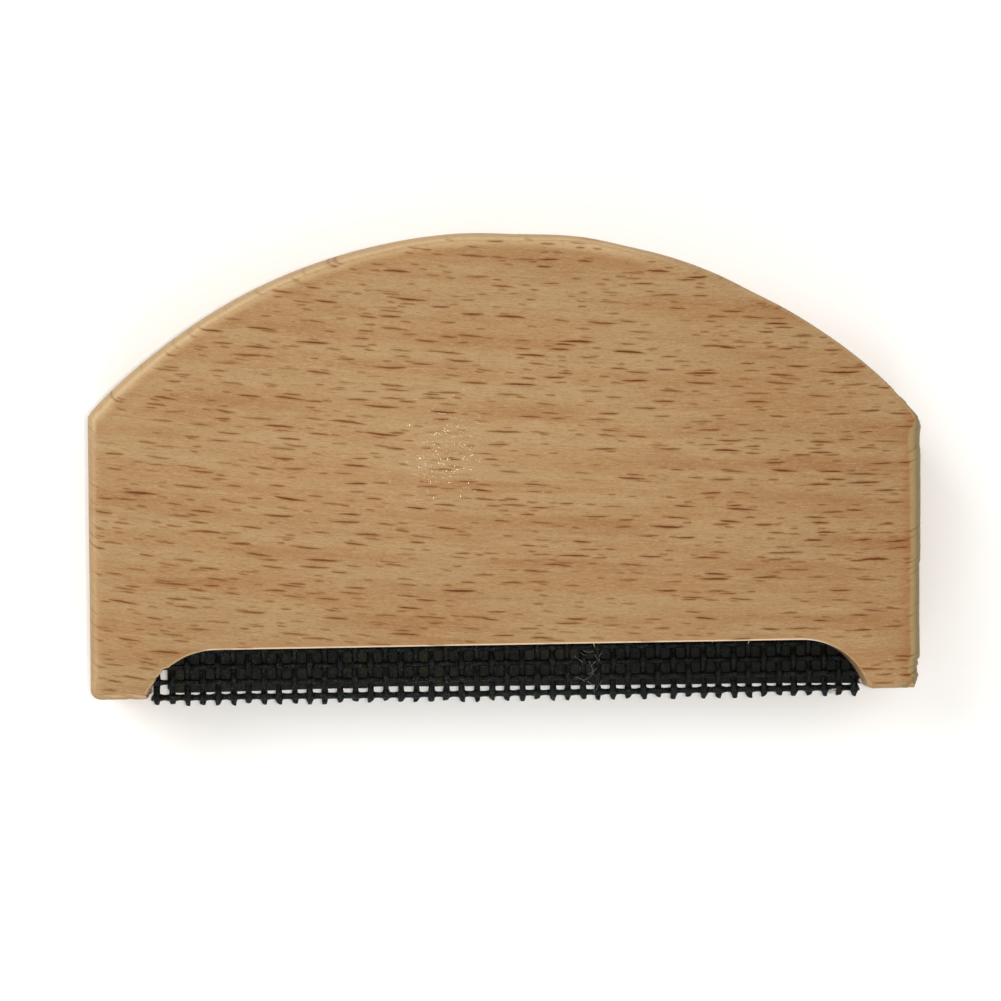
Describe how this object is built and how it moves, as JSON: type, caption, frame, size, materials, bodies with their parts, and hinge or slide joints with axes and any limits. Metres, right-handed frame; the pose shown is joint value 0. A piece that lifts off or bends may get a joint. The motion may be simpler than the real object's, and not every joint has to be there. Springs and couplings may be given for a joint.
{
  "type": "sweater comb",
  "caption": "Flat wooden hand comb with an arched notch holding a strip of black woven mesh, whose cut strand ends lift lint and pills off knitwear.",
  "frame": {"origin": "middle of the rear face's bounding box, counting the teeth, on the surface that the comb lies on", "axes": "+X along the width to the right as seen from the front, +Y from the teeth to the crown, +Z out of the front face"},
  "size_m": [0.0855, 0.0484, 0.012],
  "materials": {
    "beech": "sanded beech with short dark ray flecks, thin wax finish",
    "mesh_coating": "black plastic coating over woven strands, pooled at the crossings, with small dull glints",
    "stiffener": "matt black backing strip",
    "adhesive": "set pale translucent adhesive"
  },
  "bodies": {
    "root": {"beech_handle": "beech", "tooth_strand_01": "mesh_coating", "tooth_strand_02": "mesh_coating", "tooth_strand_03": "mesh_coating", "tooth_strand_04": "mesh_coating", "tooth_strand_05": "mesh_coating", "tooth_strand_06": "mesh_coating", "tooth_strand_07": "mesh_coating", "tooth_strand_08": "mesh_coating", "tooth_strand_09": "mesh_coating", "tooth_strand_10": "mesh_coating", "tooth_strand_11": "mesh_coating", "tooth_strand_12": "mesh_coating", "tooth_strand_13": "mesh_coating", "tooth_strand_14": "mesh_coating", "tooth_strand_15": "mesh_coating", "tooth_strand_16": "mesh_coating", "tooth_strand_17": "mesh_coating", "tooth_strand_18": "mesh_coating", "tooth_strand_19": "mesh_coating", "tooth_strand_20": "mesh_coating", "tooth_strand_21": "mesh_coating", "tooth_strand_22": "mesh_coating", "tooth_strand_23": "mesh_coating", "tooth_strand_24": "mesh_coating", "tooth_strand_25": "mesh_coating", "tooth_strand_26": "mesh_coating", "tooth_strand_27": "mesh_coating", "tooth_strand_28": "mesh_coating", "tooth_strand_29": "mesh_coating", "tooth_strand_30": "mesh_coating", "tooth_strand_31": "mesh_coating", "tooth_strand_32": "mesh_coating", "tooth_strand_33": "mesh_coating", "tooth_strand_34": "mesh_coating", "tooth_strand_35": "mesh_coating", "tooth_strand_36": "mesh_coating", "tooth_strand_37": "mesh_coating", "tooth_strand_38": "mesh_coating", "tooth_strand_39": "mesh_coating", "tooth_strand_40": "mesh_coating", "tooth_strand_41": "mesh_coating", "tooth_strand_42": "mesh_coating", "tooth_strand_43": "mesh_coating", "tooth_strand_44": "mesh_coating", "tooth_strand_45": "mesh_coating", "tooth_strand_46": "mesh_coating", "tooth_strand_47": "mesh_coating", "cross_strand_1": "mesh_coating", "cross_strand_2": "mesh_coating", "cross_strand_3": "mesh_coating", "cross_strand_4": "mesh_coating", "cross_strand_5": "mesh_coating", "cross_strand_6": "mesh_coating", "cross_strand_7": "mesh_coating", "stiffener_strip": "stiffener", "adhesive_fill": "adhesive"}
  },
  "joints": []
}
